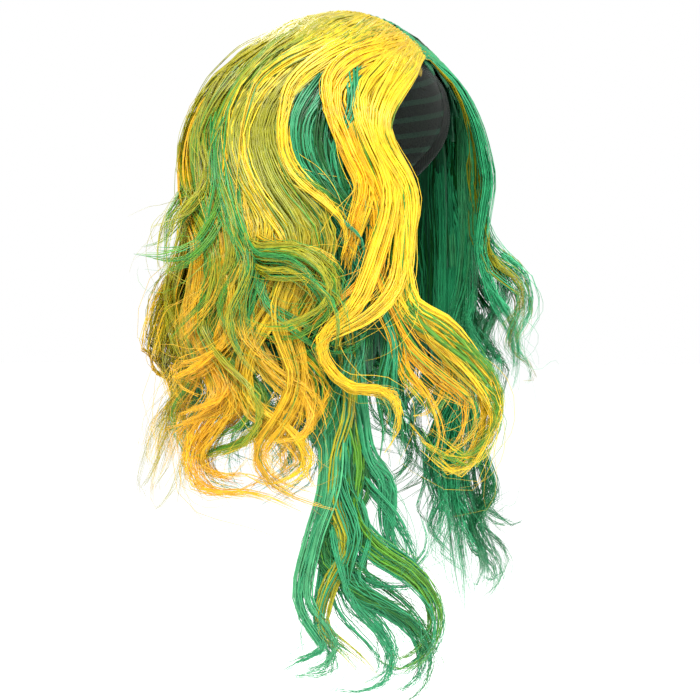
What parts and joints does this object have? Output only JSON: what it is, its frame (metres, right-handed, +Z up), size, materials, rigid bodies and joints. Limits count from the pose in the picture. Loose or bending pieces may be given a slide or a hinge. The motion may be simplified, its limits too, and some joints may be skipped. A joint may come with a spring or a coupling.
{
  "type": "long wavy wig",
  "caption": "Long wavy wig with a middle parting, yellow on the wearer's right and green on the left, on a stretch cap that is open for a head.",
  "frame": {"origin": "the point inside the cap where the crown of the head touches it", "axes": "+Z up out of the crown, -Y the way the wearer faces, +X the wearer's left"},
  "size_m": [0.2348, 0.2579, 0.4748],
  "materials": {
    "cap_net": "black stretch net",
    "cap_band": "black elastic band",
    "hair_deep_green": "satin synthetic fibre",
    "hair_yellow": "satin synthetic fibre",
    "hair_green": "satin synthetic fibre"
  },
  "bodies": {
    "root": {"cap": "cap_net", "edge_band": "cap_band", "under_hair_right": "hair_deep_green", "under_hair_left": "hair_deep_green", "front_hair_right": "hair_yellow", "side_hair_right": "hair_yellow", "back_hair_right": "hair_yellow", "front_hair_left": "hair_green", "side_hair_left": "hair_green", "back_hair_left": "hair_green"}
  },
  "joints": []
}
